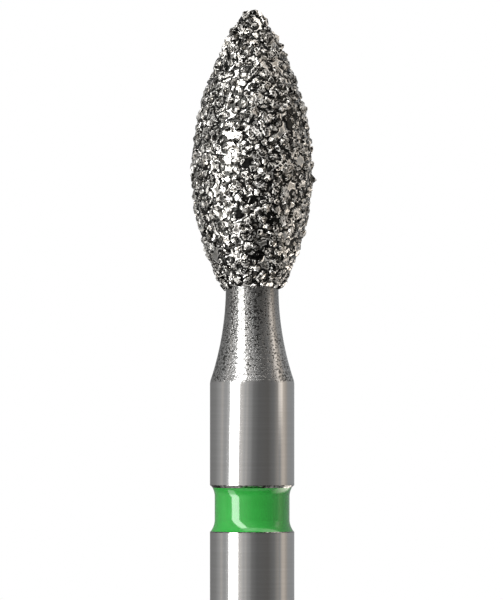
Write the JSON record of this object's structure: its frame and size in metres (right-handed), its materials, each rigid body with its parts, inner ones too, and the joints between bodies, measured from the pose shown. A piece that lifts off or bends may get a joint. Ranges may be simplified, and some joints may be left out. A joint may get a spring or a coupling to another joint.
{
  "type": "dental bur",
  "caption": "Dental diamond bur: a pointed flame-shaped head set with coarse crystals, a waisted neck and a straight friction-grip shank with a green ring in a groove.",
  "frame": {"origin": "centre of the flat rear face of the shank", "axes": "+Z along the bur's axis from the rear face to the tip of the head; the bur is turned about Z, so X and Y are alike"},
  "size_m": [0.0024, 0.0024, 0.019],
  "materials": {
    "steel": "stainless steel, drawn bright on the shank and turned finely on the neck",
    "nickel": "electroplated nickel, satin, with menisci round the crystals",
    "diamond": "coarse dark grey crystals with bright facets",
    "green_lacquer": "glossy green lacquer"
  },
  "bodies": {
    "root": {"steel_blank": "steel", "nickel_bond": "nickel", "diamond_grit": "diamond", "colour_ring": "green_lacquer"}
  },
  "joints": []
}
